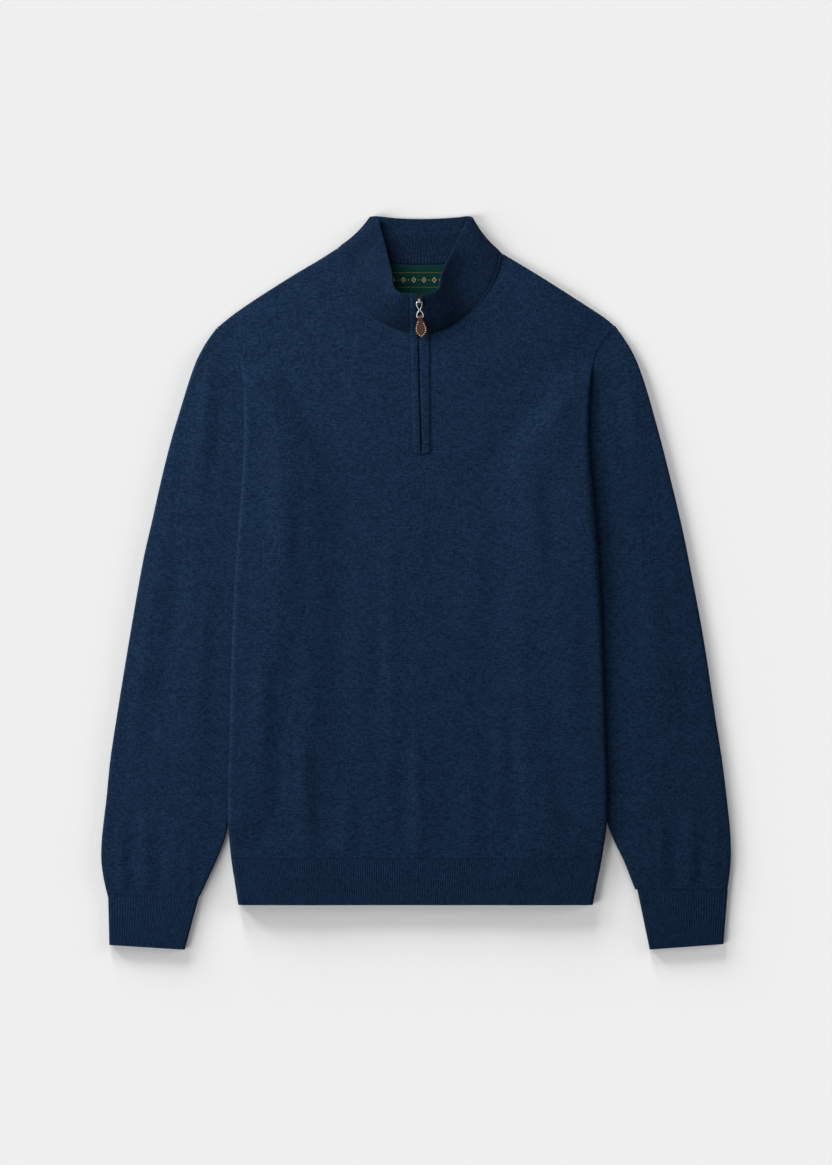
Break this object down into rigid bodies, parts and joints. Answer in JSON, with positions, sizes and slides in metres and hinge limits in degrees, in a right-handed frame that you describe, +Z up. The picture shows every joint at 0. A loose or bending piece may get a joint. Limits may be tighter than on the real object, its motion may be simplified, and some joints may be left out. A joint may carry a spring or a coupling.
{
  "type": "quarter zip sweater",
  "caption": "Quarter zip sweater laid out flat, front up, with a ribbed stand collar, hem and cuffs and a leather pull on its zip.",
  "frame": {"origin": "middle of the footprint, on the surface that the sweater lies on", "axes": "+Z up out of the surface and out of the front, +Y towards the neck, +X to the right as seen from above"},
  "size_m": [0.6724, 0.7849, 0.0351],
  "materials": {
    "knit": "heathered navy fine knit",
    "rib": "heathered navy rib knit",
    "tape": "black zip tape and chain",
    "slider": "gunmetal",
    "link": "polished silver metal",
    "tab": "brown leather",
    "label": "dark green weave"
  },
  "bodies": {
    "sweater": {"front": "knit", "back": "knit", "sleeve_left": "knit", "sleeve_right": "knit", "cuff_left": "rib", "cuff_right": "rib", "hem_front": "rib", "hem_back": "rib", "collar": "rib", "placket_left": "rib", "placket_right": "rib", "zip_tape": "tape", "zip_slider": "slider", "neck_label": "label"},
    "pull_link": {"pull_link": "link"},
    "pull_tab": {"pull_tab": "tab"}
  },
  "joints": [
    {"name": "link_flip", "type": "hinge", "parent": "sweater", "child": "pull_link", "pos_m": [0.00326, 0.2968, 0.03188], "axis": [-0.9969, -0.0785, 0], "range_deg": [0, 150]},
    {"name": "tab_flip", "type": "hinge", "parent": "pull_link", "child": "pull_tab", "pos_m": [0.00445, 0.28169, 0.02313], "axis": [-0.9969, -0.0785, 0], "range_deg": [0, 60]}
  ]
}
